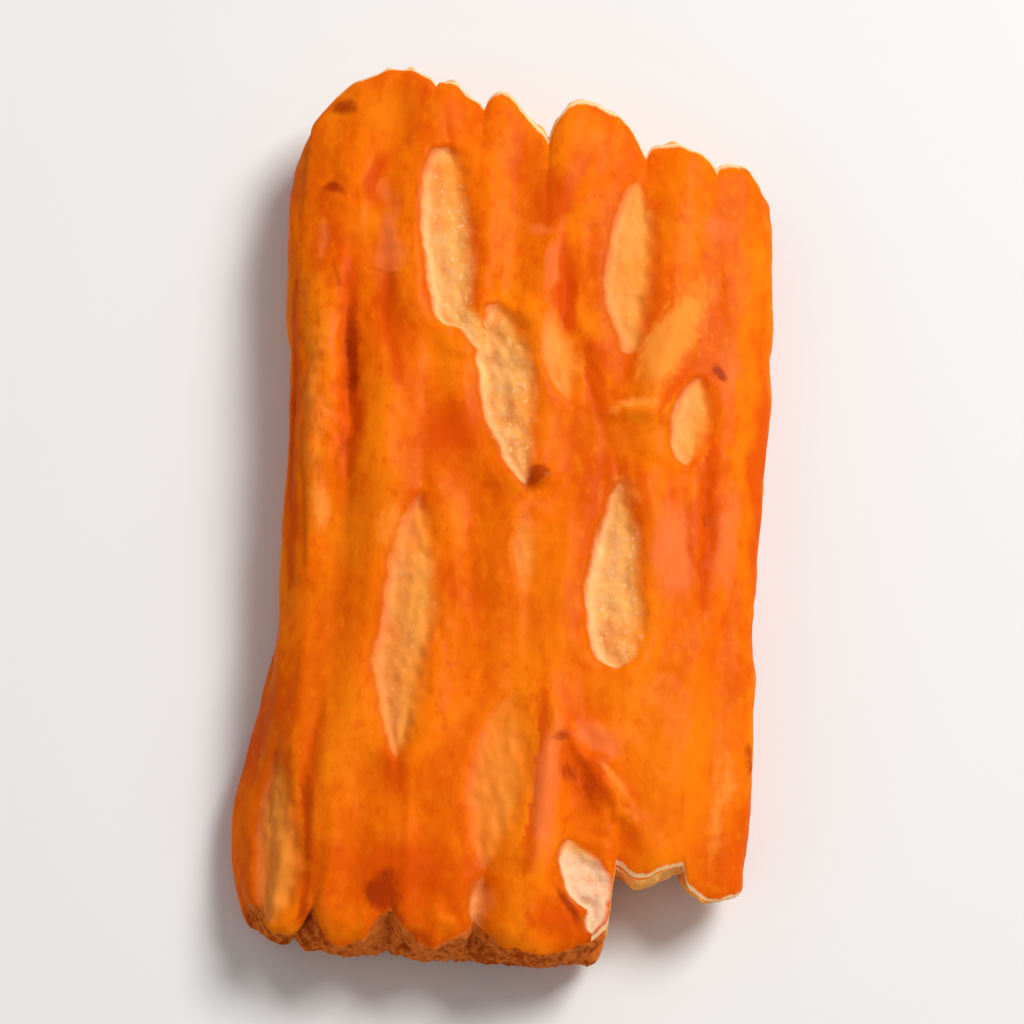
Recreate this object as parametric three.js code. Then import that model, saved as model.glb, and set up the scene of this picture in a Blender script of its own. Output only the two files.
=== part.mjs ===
// A glazed rice cracker. A thin oblong of rice dough with toothed ends puffs up as it bakes, and its coloured
// skin splits along the grain, so that lens-shaped openings show the paler inside between raised strands.
// One corner of the near end is broken off. Millimetres: +X across the cracker, +Y along it, +Z up.
// The origin is the middle of the box that holds the cracker, on the surface that it lies on.
import * as THREE from "three";
import { mergeVertices } from "three/addons/utils/BufferGeometryUtils.js";

const { lerp, smoothstep, clamp } = THREE.MathUtils;

// Driving dimensions
const HALF_WIDTH = 10.9; // of the plain section, before the sides swell
const HALF_LENGTH = 18; // of the plain slab, before the ends are cut
const CROWN = 2.95; // from the middle layer up to the upper face
const BELLY = 2.75; // and down to the underside
const SQUARENESS = 3.4; // exponent of the section's oval: 2 is an ellipse, more is squarer
const PRESSED_FLAT = 2.55; // the underside is flat this far below the middle layer, where it lay to bake
const END_THINNING = 0.27; // share of the thickness lost at the cut ends
const THINNING_REACH = 4.2; // how far from the ends that thinning is felt
const CUT_HOLLOW = 0.22; // how far the middle of a cut end's face sits in
const UNDERCUT = 0.9; // how far in the near end's lower edge lies from its upper one
const NEAR_FOOT = 19.8; // how far out the near end's dough may reach between its teeth, below the skin
const FILLED = 0.85; // how much of the way there it fills
const FILLED_MOST = 1.7; // the longest way that counts
const FLARE = 2.6; // how far the lower left side leans out, where it is fullest
const FLARE_AT = -13; // along
const FLARE_SPREAD = 6.5;

// How finely the surface is divided: across the faces, from end to end, and through the thickness
const COLUMNS = 46;
const ROWS = 40;
const LAYERS = 6;

// The toothed ends, from left to right: each tooth is [where it stops across, where it stops along, its
// height], and it starts where the last one stopped.
const FAR_START = [-10.9, 17.9];
const FAR_TEETH = [
  [-4.8, 21.1, 2.0],
  [-2.4, 20.3, 0.6],
  [0.7, 18.7, 1.45],
  [5.2, 18.6, 2.3],
  [8.5, 18.2, 0.9],
  [11.0, 17.6, 0.8],
];
const NEAR_START = [-10.9, -17.9];
const NEAR_TEETH = [
  [-8.6, -18.0, -1.3],
  [-4.9, -17.7, -1.7],
  [-0.9, -18.2, -1.4],
  [5.0, -18.3, -1.2],
  [5.3, -15.3, 0.1], // the broken corner's step
  [8.2, -15.0, -0.5],
  [8.5, -15.9, 0],
  [11.0, -16.2, -0.4],
];
const BREAK_SIDE = 5.2; // how far across the broken corner starts
const FAR_SIDES = [0.05, 0.3]; // how far in a tooth's left and right sides lean, as shares of its width
const NEAR_SIDES = [0.25, 0.4];
const END_EVENNESS = 0.5; // lengthwise distances count this much when points are spread along a cut end

// Splits in the skin: [across, along, half length, half width, lean, depth, skew, bluntness]. Across is
// measured round the skin from the middle of the upper face, positive to the right. Lean is how far a split
// slants for each millimetre along, a positive skew widens its near half, and a bluntness of 1 gives it
// pointed tips.
const UPPER_SPLITS = [
  [-3.6, 13.5, 4.5, 1.3, -0.1, 0.6, 0, 0.32],
  [-2.4, 9.2, 1.6, 0.75, -0.35, 0.3, 0, 0.8],
  [-0.5, 6.0, 4.4, 1.3, -0.2, 0.65, -0.25, 0.5],
  [1.7, 8.0, 2.2, 0.95, -0.25, 0.3, 0, 0.8],
  [4.8, 12.7, 4.4, 1.3, 0.02, 0.45, -0.1, 0.45],
  [-4.35, -5.1, 6.2, 1.45, 0.02, 0.65, 0.1, 0.7],
  [4.75, -2.1, 4.4, 1.3, -0.02, 0.65, 0.4, 0.5],
  [7.95, 5.5, 2.2, 1.1, 0.08, 0.5, 0, 0.5],
  [0.1, -12.0, 4.1, 1.4, 0.1, 0.35, 0, 0.8],
  [-0.4, -17.7, 1.4, 0.5, 0, 0.4, 0, 0.7],
  [0.6, -1.4, 2.3, 0.75, -0.12, 0.25, 0, 1],
  [4.2, -16.4, 1.8, 0.9, -0.15, 0.35, 0, 0.5],
  [-7.8, 6.8, 5.4, 0.45, -0.04, 0.6, 0, 0.8],
  [7.2, 8.2, 2.8, 0.35, 0.35, 0.45, 0, 1],
];
const SIDE_SPLITS = [
  [-10.1, -14.8, 4.0, 1.4, -0.04, 0.4, 0.2, 0.6],
  [-13.0, -2.5, 5.0, 0.7, 0.04, 0.5, 0, 1],
  [-12.8, 12.5, 3.8, 0.7, 0, 0.5, 0, 1],
  [12.9, -9.5, 4.2, 0.75, 0.03, 0.55, 0, 1],
  [13.2, 3.0, 5.2, 0.8, -0.03, 0.6, 0, 1],
  [12.6, 13.0, 3.0, 0.6, 0.05, 0.5, 0, 1],
];

// Rows of splits on the underside, staggered from row to row
const UNDER_ROWS = 5;
const UNDER_PER_ROW = 3;
const UNDER_PITCH = 4.1; // across
const UNDER_SPACING = 11.6; // along
const UNDER_HALF = [4.6, 1.05, 0.6]; // half length, half width and depth of one of them

/** 1 at the centre, falling smoothly to nothing over about two spreads. */
const swell = (at, centre, spread) => Math.exp(-(((at - centre) / spread) ** 2));

/** The cracker's cross-section: a squarish oval from the middle of the upper face round by the right. */
class Section extends THREE.Curve {
  getPoint(t, target = new THREE.Vector3()) {
    const turn = 2 * Math.PI * t;
    const across = Math.sin(turn);
    const up = Math.cos(turn);
    const size = (Math.abs(across) ** SQUARENESS + Math.abs(up) ** SQUARENESS) ** (-1 / SQUARENESS);
    return target.set(HALF_WIDTH * across * size, 0, (up > 0 ? CROWN : BELLY) * up * size);
  }
}
const section = new Section();
section.arcLengthDivisions = 1600;
const GIRTH = section.getLength();
const FACE = (GIRTH * COLUMNS) / (2 * (COLUMNS + LAYERS)); // the skin's length across one face
const SIDE = GIRTH / 2 - FACE; // and down one side

/** A cut end seen from above: each tooth is an arch between two notches, and its sides lean in by shares of
 * its width. Gives the end's point at a share of the way from left to right. */
function toothedEnd(start, teeth, [leftLean, rightLean]) {
  const end = new THREE.Path();
  const squashed = ([x, y]) => [x, y * END_EVENNESS];
  end.moveTo(...squashed(start));
  let [x, y] = start;
  for (const [toX, toY, height] of teeth) {
    const wide = toX - x;
    const rise = height / 0.75; // a cubic curve reaches three quarters of the way to its control points
    const controls = [[x + leftLean * wide, y + rise], [toX - rightLean * wide, toY + rise], [toX, toY]];
    end.bezierCurveTo(...controls.flatMap(squashed));
    [x, y] = [toX, toY];
  }
  return (share) => {
    const point = end.getPointAt(share);
    return new THREE.Vector2(point.x, point.y / END_EVENNESS);
  };
}
const farEnd = toothedEnd(FAR_START, FAR_TEETH, FAR_SIDES);
const nearEnd = toothedEnd(NEAR_START, NEAR_TEETH, NEAR_SIDES);

/** The underside's splits, each a little off its place, its size and its line. */
function underSplits() {
  const splits = [];
  for (let row = 0; row < UNDER_ROWS; row++) {
    for (let n = 0; n < UNDER_PER_ROW; n++) {
      const odd = Math.sin(5.1 * row + 2.3 * n);
      const other = Math.cos(3.7 * row + 4.9 * n);
      const across = GIRTH / 2 + (row - (UNDER_ROWS - 1) / 2) * UNDER_PITCH + 0.5 * odd;
      const along = (n - (UNDER_PER_ROW - 1) / 2) * UNDER_SPACING + (row % 2 ? 4 : -2) + 1.5 * other;
      const [half, wide, deep] = UNDER_HALF;
      const [long, broad] = [half * (1 + 0.2 * other), wide * (1 + 0.2 * odd)];
      splits.push([across, along, long, broad, 0.08 * odd, deep, 0, 1]);
    }
  }
  return splits;
}
const SPLITS = [...UPPER_SPLITS, ...SIDE_SPLITS, ...underSplits()];

/** How far the grain of the dough has been drawn sideways at a place by the slant of the splits near it. */
function grainShift(around, along) {
  let shift = 0;
  for (const [across, middle, half, , lean] of UPPER_SPLITS) {
    shift += lean * (along - middle) * swell(around, across, 2) * swell(along, middle, 1.1 * half);
  }
  return shift;
}

/** How far the skin stands in or out at a place: down in the splits, up in the lips beside them. */
function relief(around, along) {
  let height = 0.1 * Math.sin(1.15 * around + 0.9 * Math.sin(0.21 * along + 1) + 0.6);
  height += 0.06 * Math.sin(2.1 * around - 0.16 * along + 2);
  height += 0.12 * Math.sin(0.33 * along + 0.4 * around) * Math.cos(0.5 * around);
  for (const [across, middle, half, wide, lean, deep, skew, bluntness] of SPLITS) {
    const share = (along - middle) / half;
    if (Math.abs(share) > 1.3) continue;
    const turn = (around - across - lean * (along - middle)) / GIRTH;
    const off = Math.abs(turn - Math.round(turn)) * GIRTH;
    const open = wide * clamp(1 - share * share, 0, 1) ** bluntness * (1 - skew * share);
    height -= deep * smoothstep(open - off, -0.15, 0.55);
    height += 0.3 * deep * swell(off, open + 0.7, 0.7) * smoothstep(1.3 - Math.abs(share), 0, 0.5);
  }
  return height;
}

/** How far the left side is drawn in along its near half. */
const waist = (y) => 0.4 * swell(y, -3.5, 4.5) + 0.8 * swell(y, FLARE_AT, FLARE_SPREAD);

/** How far the left and right sides stand out from the middle line. */
const leftReach = (y) => 10.1 + 0.7 * swell(y, 14, 8) - waist(y);
const rightReach = (y) => 10.9 + 0.25 * swell(y, 8, 9);

/** The section's point at a distance round it, which may be counted either way. */
const sectionAt = (around) => section.getPointAt((((around / GIRTH) % 1) + 1) % 1);

/** A point of the skin: around is the distance round the section, and b runs from -1 at the near end to 1. */
function skinPoint(around, b) {
  const plain = sectionAt(around).x / HALF_WIDTH;
  const edge = (b > 0 ? farEnd : nearEnd)((plain + 1) / 2);
  const outer = clamp(2 * Math.abs(b) - 1, 0, 1);
  let y = Math.abs(b) < 0.5 ? b * HALF_LENGTH : lerp(Math.sign(b) * 0.5 * HALF_LENGTH, edge.y, outer);
  const toEdge = Math.abs(edge.y - y);

  const drawn = around + grainShift(around, y);
  const flat = sectionAt(drawn);
  const share = flat.x / HALF_WIDTH;

  const placed = lerp(share, edge.x / HALF_WIDTH, outer * outer * (3 - 2 * outer));
  let x = placed * (placed < 0 ? leftReach(y) : rightReach(y));
  const upper = flat.z > 0;
  const left = smoothstep(-placed, 0.6, 1);
  const thin = 1 - END_THINNING * Math.exp(-toEdge / THINNING_REACH) - 0.1 * swell(toEdge, 0, 0.5);
  const z = flat.z * thin * (1 + 0.08 * swell(x, -1, 7) - 0.05 * smoothstep(placed, 0.4, 1));

  // The lower left side leans out towards the surface it lies on, and the near end is undercut.
  if (b < 0) y += UNDERCUT * outer ** 2 * smoothstep(-z, -0.5 * CROWN, BELLY);
  x -= FLARE * left * swell(y, FLARE_AT, FLARE_SPREAD) * smoothstep(-z, -CROWN, 0.6 * BELLY);

  const across = (Math.abs(flat.x) / HALF_WIDTH) ** (SQUARENESS - 1) * Math.sign(flat.x);
  const depth = upper ? CROWN : BELLY;
  const up = (Math.abs(flat.z) / depth) ** (SQUARENESS - 1) * Math.sign(flat.z);
  const outward = new THREE.Vector2(across / HALF_WIDTH, up / depth).normalize();
  const follows = drawn + (x - flat.x) * (upper ? 1 : -1);
  const raised = relief(follows, y);
  return new THREE.Vector3(x + outward.x * raised, y, z + outward.y * raised);
}

/** The distance round the section of a point on the sides of the cube from -1 to 1. */
function aroundOf(a, c) {
  if (c === 1) return (a * FACE) / 2;
  if (a === 1) return FACE / 2 + ((1 - c) / 2) * SIDE;
  if (c === -1) return FACE / 2 + SIDE + ((1 - a) / 2) * FACE;
  return -FACE / 2 - ((1 - c) / 2) * SIDE;
}

/** A point of a cut end's face: straight down from the upper edge to the lower, bulging with the sides. */
function endPoint(a, b, c) {
  const at = (i, k) => skinPoint(aroundOf(i, k), b);
  const straight = (i) => at(i, -1).lerp(at(i, 1), (c + 1) / 2);
  const point = straight(a);
  for (const side of [-1, 1]) {
    const near = clamp(a * side, 0, 1) ** 4;
    point.add(at(side, c).sub(straight(side)).multiplyScalar(near));
  }
  const inset = (1 - c * c) * (1 - a ** 4);
  if (b < 0) {
    const short = clamp(NEAR_FOOT - (UNDERCUT * (1 - c)) / 2 + point.y, 0, FILLED_MOST);
    const filled = FILLED * short * smoothstep(-c, -1, 0.2) * smoothstep(BREAK_SIDE - point.x, 0, 0.5);
    point.y -= filled * smoothstep(1 + c, 0, 0.4) * (1 - a ** 4);
  }
  point.y -= b * CUT_HOLLOW * inset * (1 + 0.5 * Math.sin(9 * a + 2 * c));
  return point;
}

/** Splits each quad along its shorter diagonal, so that the creases follow the edges of the splits. */
function shortenDiagonals(shape) {
  const { index } = shape;
  const position = shape.getAttribute("position");
  const corner = (i) => new THREE.Vector3().fromBufferAttribute(position, i);
  for (let n = 0; n < index.count; n += 6) {
    const [a, b, d, , c] = index.array.slice(n, n + 6);
    if (corner(a).distanceTo(corner(c)) < corner(b).distanceTo(corner(d))) {
      index.array.set([a, b, c, a, c, d], n);
    }
  }
}

/** The cracker as one closed mesh: a finely divided cube, with every point moved to its place. */
function crackerGeometry() {
  const cube = new THREE.BoxGeometry(2, 2, 2, COLUMNS, ROWS, LAYERS);
  cube.deleteAttribute("normal");
  cube.deleteAttribute("uv");
  const shape = mergeVertices(cube, 1e-5);
  const position = shape.getAttribute("position");
  const snap = (value) => (Math.abs(Math.abs(value) - 1) < 1e-6 ? Math.sign(value) : value);
  for (let i = 0; i < position.count; i++) {
    const [a, b, c] = [position.getX(i), position.getY(i), position.getZ(i)].map(snap);
    const onEnd = Math.abs(b) === 1 && Math.abs(a) < 1 && Math.abs(c) < 1;
    const point = onEnd ? endPoint(a, b, c) : skinPoint(aroundOf(a, c), b);
    position.setXYZ(i, point.x, point.y, Math.max(point.z, -PRESSED_FLAT));
  }
  shortenDiagonals(shape);
  shape.computeBoundingBox();
  const middle = shape.boundingBox.getCenter(new THREE.Vector3());
  shape.translate(-middle.x, -middle.y, PRESSED_FLAT);
  shape.computeVertexNormals();
  return shape;
}

const glazedDough = new THREE.MeshStandardMaterial({ color: 0xf2761a, roughness: 0.38, metalness: 0 });

const cracker = new THREE.Mesh(crackerGeometry(), glazedDough);
cracker.name = "cracker";

const riceCracker = new THREE.Group();
riceCracker.add(cracker);

export default riceCracker;
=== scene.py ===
# %% [markdown]
# # A glazed rice cracker
# This cracker starts as a thin oblong of rice dough. In the oven it puffs up, and its coloured skin
# splits along the grain, so that lens-shaped openings show the paler inside between raised strands. Its
# two ends were cut with a toothed cutter, and one corner of the near end has broken off. It was then
# glazed and dried. The frame is the measured model of the cracker. Everything below is worked out in
# millimetres within it.

# %% The frame
import math
from collections import namedtuple

import bpy
import numpy as np
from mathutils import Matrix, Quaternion, Vector


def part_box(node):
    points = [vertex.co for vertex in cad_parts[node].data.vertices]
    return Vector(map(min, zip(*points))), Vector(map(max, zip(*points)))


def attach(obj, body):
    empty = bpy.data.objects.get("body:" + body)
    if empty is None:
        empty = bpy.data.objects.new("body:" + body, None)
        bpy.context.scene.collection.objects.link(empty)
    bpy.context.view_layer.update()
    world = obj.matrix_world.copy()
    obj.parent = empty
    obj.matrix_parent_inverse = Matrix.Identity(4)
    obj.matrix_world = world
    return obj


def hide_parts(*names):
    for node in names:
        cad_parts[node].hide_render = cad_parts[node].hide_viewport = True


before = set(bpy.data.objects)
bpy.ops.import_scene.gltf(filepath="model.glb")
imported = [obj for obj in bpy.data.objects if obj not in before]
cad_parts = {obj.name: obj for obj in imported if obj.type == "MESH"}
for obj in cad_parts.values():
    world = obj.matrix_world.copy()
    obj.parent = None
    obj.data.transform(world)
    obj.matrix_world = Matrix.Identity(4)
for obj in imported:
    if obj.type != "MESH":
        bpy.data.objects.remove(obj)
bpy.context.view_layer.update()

MM = 0.001
LOW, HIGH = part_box("cracker")
WIDTH, LENGTH, THICKNESS = (HIGH - LOW) / MM
print(f"frame: {WIDTH:.2f} x {LENGTH:.2f} x {THICKNESS:.2f} mm")

# %% [markdown]
# ## The cross-section
# Cut across, the cracker is a squarish oval: flat above and below, with full round sides. A
# superellipse gives that in one formula, because a single exponent decides how square it is. It is
# measured once in small steps, so that any place on the skin can be named by its distance round the
# section. The shares leave room in the frame for what is added later: the swollen sides and the relief.

# %% The cross-section
HALF_WIDTH = 0.468 * WIDTH
CROWN = 0.474 * THICKNESS
BELLY = 0.442 * THICKNESS
SQUARENESS = 3.4
PRESSED_FLAT = 0.41 * THICKNESS

turn = np.linspace(0, 2 * np.pi, 6001)
oval = (np.abs(np.sin(turn)) ** SQUARENESS + np.abs(np.cos(turn)) ** SQUARENESS) ** (-1 / SQUARENESS)
SECTION_X = HALF_WIDTH * np.sin(turn) * oval
SECTION_Z = np.where(np.cos(turn) > 0, CROWN, BELLY) * np.cos(turn) * oval
SECTION_AROUND = np.append(0, np.cumsum(np.hypot(np.diff(SECTION_X), np.diff(SECTION_Z))))
GIRTH = SECTION_AROUND[-1]


def section_at(around):
    """The section's x and z at a distance round it, from the middle of the upper face towards the right."""
    x = np.interp(around, SECTION_AROUND, SECTION_X, period=GIRTH)
    z = np.interp(around, SECTION_AROUND, SECTION_Z, period=GIRTH)
    return x, z


print(f"girth: {GIRTH:.2f} mm")

# %% [markdown]
# ## Helpers for uneven surfaces
# Three small functions do most of the shaping: a smooth hump, a smooth step, and a random field. The
# field closes on itself round the girth, so no seam shows, and its seed is fixed, so it is the same on
# every run. A fourth puts marks at chosen places. A clean oval hump would look painted on, so the field
# pulls each mark out of shape.

# %% Humps, steps and random fields
RANDOM_ROWS = 512
PULL_ACROSS = 0.35
PULL_ALONG = 0.4


def swell(at, centre, spread):
    """A hump: one at the centre, falling to nothing over about two spreads, as exp(-d squared) does."""
    return np.exp(-(((at - centre) / spread) ** 2))


def step(at, start, end):
    """A smooth step from nothing at start to one at end: 3 t squared minus 2 t cubed."""
    t = np.clip((at - start) / (end - start), 0, 1)
    return t * t * (3 - 2 * t)


def field(across, along, size_across, size_along, seed):
    """A random height at each crossing of a grid, from -1 to 1, eased from each crossing to the next."""
    cells = max(2, round(GIRTH / size_across))
    heights = np.random.default_rng(seed).uniform(-1, 1, (cells, RANDOM_ROWS))
    u = across / GIRTH * cells
    v = along / size_along
    i = np.floor(u).astype(int)
    j = np.floor(v).astype(int)
    s = step(u - i, 0, 1)
    t = step(v - j, 0, 1)
    left, right = i % cells, (i + 1) % cells
    here, beyond = j % RANDOM_ROWS, (j + 1) % RANDOM_ROWS
    near = heights[left, here] * (1 - s) + heights[right, here] * s
    far = heights[left, beyond] * (1 - s) + heights[right, beyond] * s
    return near * (1 - t) + far * t


def marks(places, across, along):
    """How strong the marks are at a place: the highest of their humps, each pulled a bit out of shape."""
    strength = np.zeros_like(across)
    turned = across + 0.6 * along
    pulled_x = across + PULL_ACROSS * field(turned, along - 0.5 * across, 1.3, 1.5, 15)
    pulled_y = along + PULL_ALONG * field(turned, along - 0.5 * across, 1.2, 1.7, 17)
    for x, y, wide, long, lean, strong in places:
        hump = swell(pulled_x - lean * (along - y), x, wide) * swell(pulled_y, y, long)
        strength = np.maximum(strength, strong * hump)
    return strength


print(f"a hump at its centre and one spread away: {swell(0, 0, 1):.2f} and {swell(1, 0, 1):.2f}")

# %% [markdown]
# ## The toothed ends
# A cutter with a wavy edge left a row of teeth at each end. The teeth could be measured point by point,
# but one arch between two notches is enough for each. So a tooth is three numbers: where it stops
# across, where it stops along, and how high it is. It starts where the last one stopped, and its two
# sides lean in by shares of its width. The short upright piece near the right of the near end is the
# side of the broken corner, which starts at BREAK_SIDE. Points are spread along the line by length, but
# lengthwise distances count half, which keeps the columns of the mesh nearly straight.

# %% The toothed ends
FAR_START = (-10.9, 17.9)
FAR_TEETH = [
    (-4.8, 21.1, 2.0),
    (-2.4, 20.3, 0.6),
    (0.7, 18.7, 1.45),
    (5.2, 18.6, 2.3),
    (8.5, 18.2, 0.9),
    (11.0, 17.6, 0.8),
]
NEAR_START = (-10.9, -17.9)
NEAR_TEETH = [
    (-8.6, -18.0, -1.3),
    (-4.9, -17.7, -1.7),
    (-0.9, -18.2, -1.4),
    (5.0, -18.3, -1.2),
    (5.3, -15.3, 0.1),
    (8.2, -15.0, -0.5),
    (8.5, -15.9, 0.0),
    (11.0, -16.2, -0.4),
]
BREAK_SIDE = 5.2
FAR_SIDES = (0.05, 0.3)
NEAR_SIDES = (0.25, 0.4)
END_EVENNESS = 0.5
RAG = 0.55
FAR_RAGGED = 0.12
NEAR_RAGGED = 0.14


def toothed_end(start, teeth, sides, ragged, seed):
    """A cut end from above: cubic arches, which rise three quarters of the way to their control points,
    made a little ragged. Gives its points, and how far along it each one is, as a share of the whole."""
    t = np.linspace(0, 1, 80)[:, None]
    pieces = []
    here = np.array(start)
    for to_x, to_y, height in teeth:
        there = np.array((to_x, to_y))
        wide = np.array((to_x - here[0], 0))
        rise = np.array((0, height / 0.75))
        first = here + sides[0] * wide + rise
        second = there - sides[1] * wide + rise
        arch = here * (1 - t) ** 3 + 3 * first * t * (1 - t) ** 2
        arch = arch + 3 * second * t * t * (1 - t) + there * t**3
        pieces.append(arch)
        here = there
    line = np.concatenate(pieces)
    line[:, 1] += ragged * field(line[:, 0], 0 * line[:, 0], RAG, 1, seed)
    steps = np.hypot(np.diff(line[:, 0]), END_EVENNESS * np.diff(line[:, 1]))
    length = np.append(0, np.cumsum(steps))
    return line, length / length[-1]


FAR_END = toothed_end(FAR_START, FAR_TEETH, FAR_SIDES, FAR_RAGGED, 3)
NEAR_END = toothed_end(NEAR_START, NEAR_TEETH, NEAR_SIDES, NEAR_RAGGED, 4)


def end_at(end, share):
    """The x and y of a cut end at a share of the way from left to right."""
    line, shares = end
    return np.interp(share, shares, line[:, 0]), np.interp(share, shares, line[:, 1])


print(f"ends: {len(FAR_TEETH)} and {len(NEAR_TEETH)} arches")

# %% [markdown]
# ## The splits
# As the dough swells, the skin tears open along the grain. Each tear is a lens: its half width falls
# from the middle to the tips as one minus t squared, and a power makes the tips sharper or blunter. A
# split has its place across and along, its half length and half width, its lean, its depth, how pale
# its crumb is, how much wider its near half is, and that power. The thin ones with no paleness are
# creases, where the skin has folded but not torn. Across is measured round the skin, from the middle of
# the upper face to the right.

# %% The splits of the upper face and the sides
Split = namedtuple("Split", "across along half wide lean deep pale skew blunt")
UPPER_SPLITS = [
    Split(-3.6, 13.5, 4.5, 1.3, -0.1, 0.5, 1.0, 0.0, 0.32),
    Split(-2.4, 9.2, 1.6, 0.75, -0.5, 0.3, 0.9, 0.0, 0.8),
    Split(-0.5, 6.0, 4.4, 1.3, -0.2, 0.45, 1.0, -0.25, 0.5),
    Split(1.7, 8.0, 2.2, 0.95, -0.25, 0.2, 0.3, 0.0, 0.8),
    Split(4.8, 12.7, 4.4, 1.3, 0.02, 0.22, 0.5, -0.1, 0.45),
    Split(-4.35, -5.1, 6.2, 1.45, 0.02, 0.4, 0.45, 0.1, 0.6),
    Split(4.75, -2.1, 4.4, 1.3, -0.02, 0.4, 1.0, 0.4, 0.5),
    Split(7.95, 5.5, 2.2, 1.1, 0.08, 0.3, 0.6, 0.0, 0.5),
    Split(0.1, -12.0, 4.1, 1.5, 0.1, 0.22, 0.18, 0.0, 0.8),
    Split(-0.4, -17.7, 1.4, 0.5, 0.0, 0.35, 0.6, 0.0, 0.7),
    Split(0.6, -1.4, 2.3, 0.75, -0.12, 0.2, 0.2, 0.0, 1.0),
    Split(3.9, -15.9, 1.5, 1.1, -0.35, 0.25, 1.4, 0.2, 0.45),
    Split(4.6, -17.4, 1.1, 0.5, 0.1, 0.3, 1.5, 0.0, 0.6),
    Split(-7.8, 6.8, 5.4, 0.4, -0.04, 0.5, 0.0, 0.0, 0.8),
    Split(-10.3, 4.0, 7.5, 0.25, -0.03, 0.45, 0.0, 0.0, 1.0),
    Split(7.2, 8.2, 2.8, 0.25, 0.35, 0.4, 0.0, 0.0, 1.0),
    Split(1.7, 11.1, 3.0, 0.3, -0.05, 0.35, 0.0, 0.0, 1.0),
    Split(3.3, 6.4, 2.2, 0.25, -0.35, 0.25, 0.0, 0.0, 1.0),
    Split(-6.2, 10.0, 4.0, 0.2, -0.12, 0.2, 0.0, 0.0, 1.0),
    Split(8.8, 0.8, 4.2, 0.3, 0.0, 0.3, 0.0, 0.0, 1.0),
    Split(-8.4, -14.2, 4.6, 0.3, 0.03, 0.4, 0.0, 0.0, 1.0),
    Split(1.5, -12.0, 4.2, 0.25, 0.05, 0.22, 0.0, 0.0, 1.0),
]
SIDE_SPLITS = [
    Split(-9.9, -14.8, 4.0, 1.65, -0.04, 0.3, 0.2, 0.2, 0.6),
    Split(-13.0, -2.5, 5.0, 0.7, 0.04, 0.5, 0.4, 0.0, 1.0),
    Split(-12.8, 12.5, 3.8, 0.7, 0.0, 0.5, 0.5, 0.0, 1.0),
    Split(12.9, -9.5, 4.2, 0.75, 0.03, 0.55, 0.6, 0.0, 1.0),
    Split(13.2, 3.0, 5.2, 0.8, -0.03, 0.6, 0.7, 0.0, 1.0),
    Split(12.6, 13.0, 3.0, 0.6, 0.05, 0.5, 0.5, 0.0, 1.0),
]
print(f"splits: {len(UPPER_SPLITS)} above, {len(SIDE_SPLITS)} on the sides")

# %% [markdown]
# ## The splits of the underside
# The underside has splits of the same kind in staggered rows, as the dough swells evenly there. Each is
# moved, sized and turned a little by two slow waves of its row and its number, so that no two are
# alike.

# %% The splits of the underside
UNDER_ROWS = 5
UNDER_PER_ROW = 3
UNDER_PITCH = 4.1
UNDER_SPACING = 11.6
UNDER_STAGGER = (-2, 4)
UNDER_SPLIT = Split(GIRTH / 2, 0.0, 4.6, 1.05, 0.0, 0.6, 0.7, 0.0, 1.0)
UNDER_UNEVEN = 0.2


def under_split(row, n):
    """One split of the underside, a little off its place, its size and its line."""
    odd = math.sin(5.1 * row + 2.3 * n)
    other = math.cos(3.7 * row + 4.9 * n)
    across = UNDER_SPLIT.across + (row - (UNDER_ROWS - 1) / 2) * UNDER_PITCH + 0.5 * odd
    along = (n - (UNDER_PER_ROW - 1) / 2) * UNDER_SPACING + UNDER_STAGGER[row % 2] + 1.5 * other
    half = UNDER_SPLIT.half * (1 + UNDER_UNEVEN * other)
    wide = UNDER_SPLIT.wide * (1 + UNDER_UNEVEN * odd)
    return UNDER_SPLIT._replace(across=across, along=along, half=half, wide=wide, lean=0.08 * odd)


under_splits = [under_split(row, n) for row in range(UNDER_ROWS) for n in range(UNDER_PER_ROW)]
SPLITS = UPPER_SPLITS + SIDE_SPLITS + under_splits
print(f"splits: {len(under_splits)} below, {len(SPLITS)} in all")

# %% [markdown]
# ## The relief of the skin
# The height of the skin is a sum of layers: broad waves, the splits with their raised lips, the creases
# that run on from their tips, ridges and ripples, and fine lines along the grain. These are the places
# that differ from the rest. A ridge has its place across and along, its half length, its half width,
# its lean and its height. A ripple has its place, its half width and half length, its pitch and its
# height. A rough patch is a mark: its place, its half width and half length, its lean and its strength.

# %% Ridges, ripples and rough patches
RIDGES = [
    (6.75, 8.7, 3.0, 0.95, 0.32, 0.28),
    (5.1, 5.5, 0.4, 1.7, 0.0, 0.22),
    (2.0, -11.3, 3.0, 0.45, 0.03, 0.2),
    (7.1, -0.7, 2.4, 0.9, -0.12, 0.16),
    (4.0, -11.2, 1.9, 0.4, -0.7, 0.24),
    (5.4, -12.7, 1.6, 0.45, -0.7, 0.2),
    (4.1, -9.6, 0.8, 0.9, -0.5, 0.16),
    (-6.3, 12.8, 1.8, 0.7, -0.05, 0.18),
    (-9.0, 5.0, 7.0, 0.7, -0.06, 0.15),
    (1.0, 2.0, 0.4, 0.55, 0.6, 0.3),
]
RIPPLES = [
    (-6.3, 12.6, 0.55, 1.4, 0.75, 0.06),
    (8.5, 15.6, 1.2, 0.9, 0.9, 0.03),
]
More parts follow.
